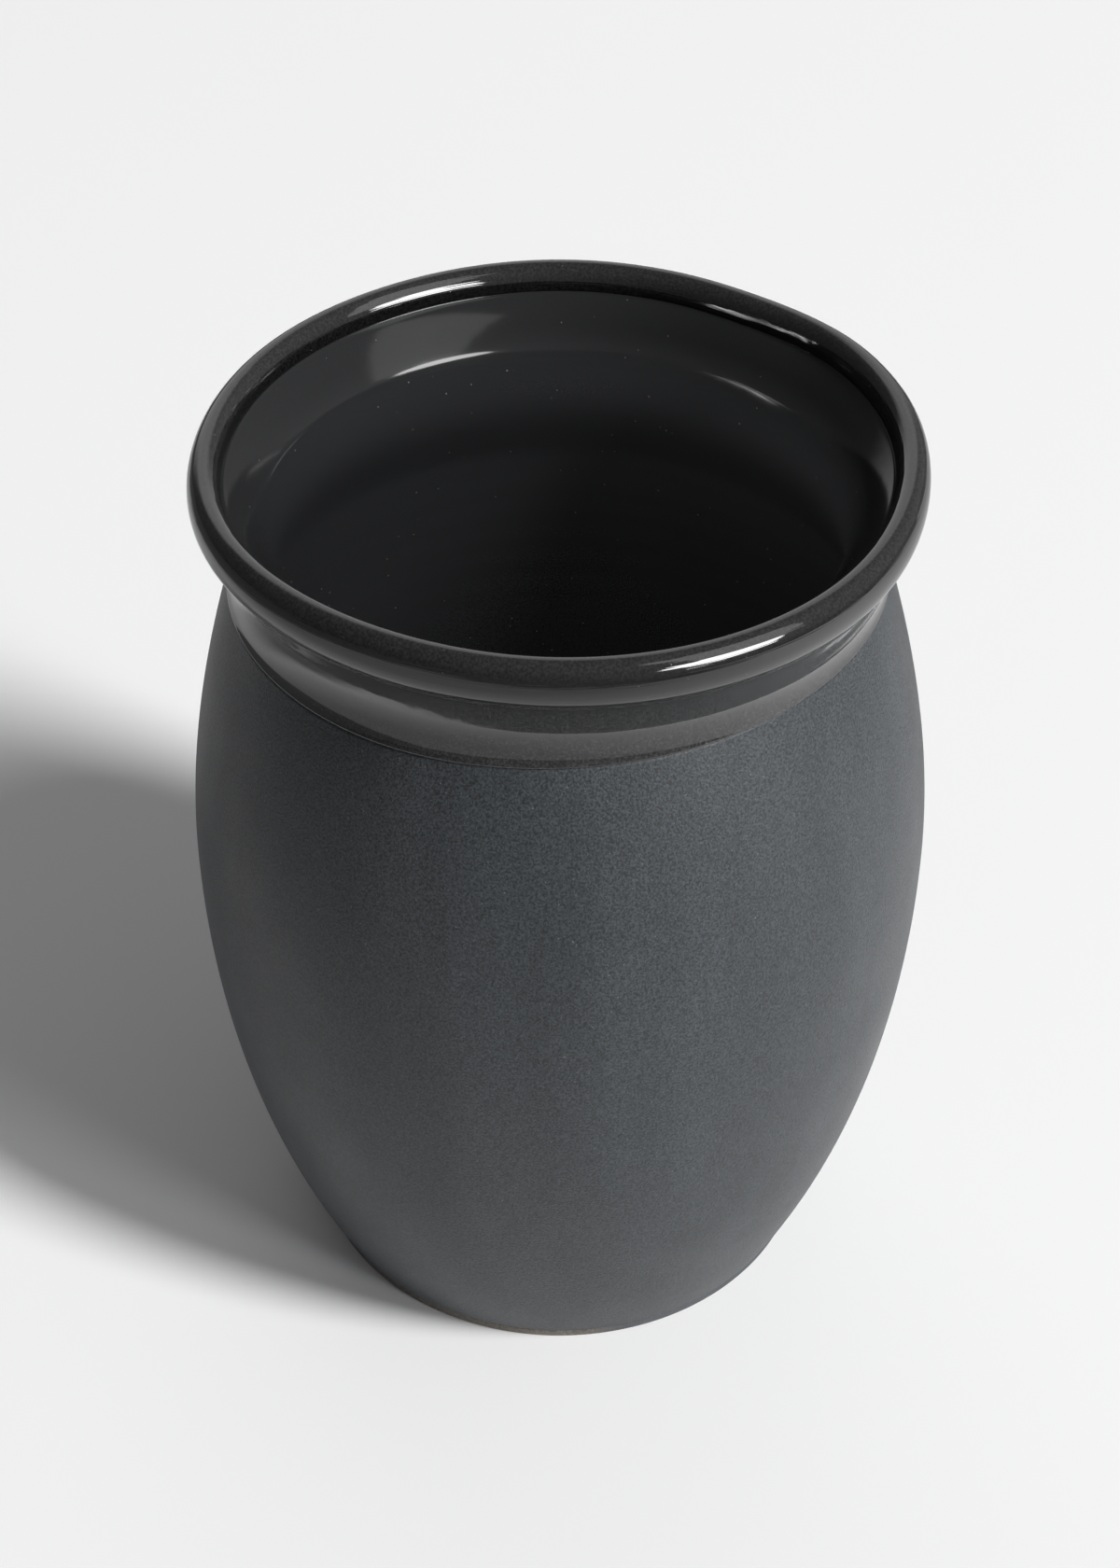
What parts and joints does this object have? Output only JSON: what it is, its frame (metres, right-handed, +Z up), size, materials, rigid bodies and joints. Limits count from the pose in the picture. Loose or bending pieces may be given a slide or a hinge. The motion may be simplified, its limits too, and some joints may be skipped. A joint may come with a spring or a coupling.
{
  "type": "handleless stoneware jug",
  "caption": "Wheel-thrown open jug with an egg-shaped belly, hollow neck and rolled lip; matte graphite slip outside, glossy black glaze on the lip, neck and inside.",
  "frame": {"origin": "centre of the foot, on the surface that the jug stands on", "axes": "+Z up along the axis the jug was turned on; +X to the right and +Y away from the viewer, as pictured"},
  "size_m": [0.1492, 0.1492, 0.1928],
  "materials": {
    "bare_stoneware": "bare fired clay, warm grey-brown, rough",
    "graphite_slip": "matte graphite slip with a fine metallic speckle and a soft sheen",
    "lip_glaze": "glossy black glaze with fine pinholes",
    "lining_glaze": "glossy black glaze with fine specks and throwing rings"
  },
  "bodies": {
    "root": {"clay_body": "bare_stoneware", "slip_coat": "graphite_slip", "lip_glaze": "lip_glaze", "lining_glaze": "lining_glaze"}
  },
  "joints": []
}
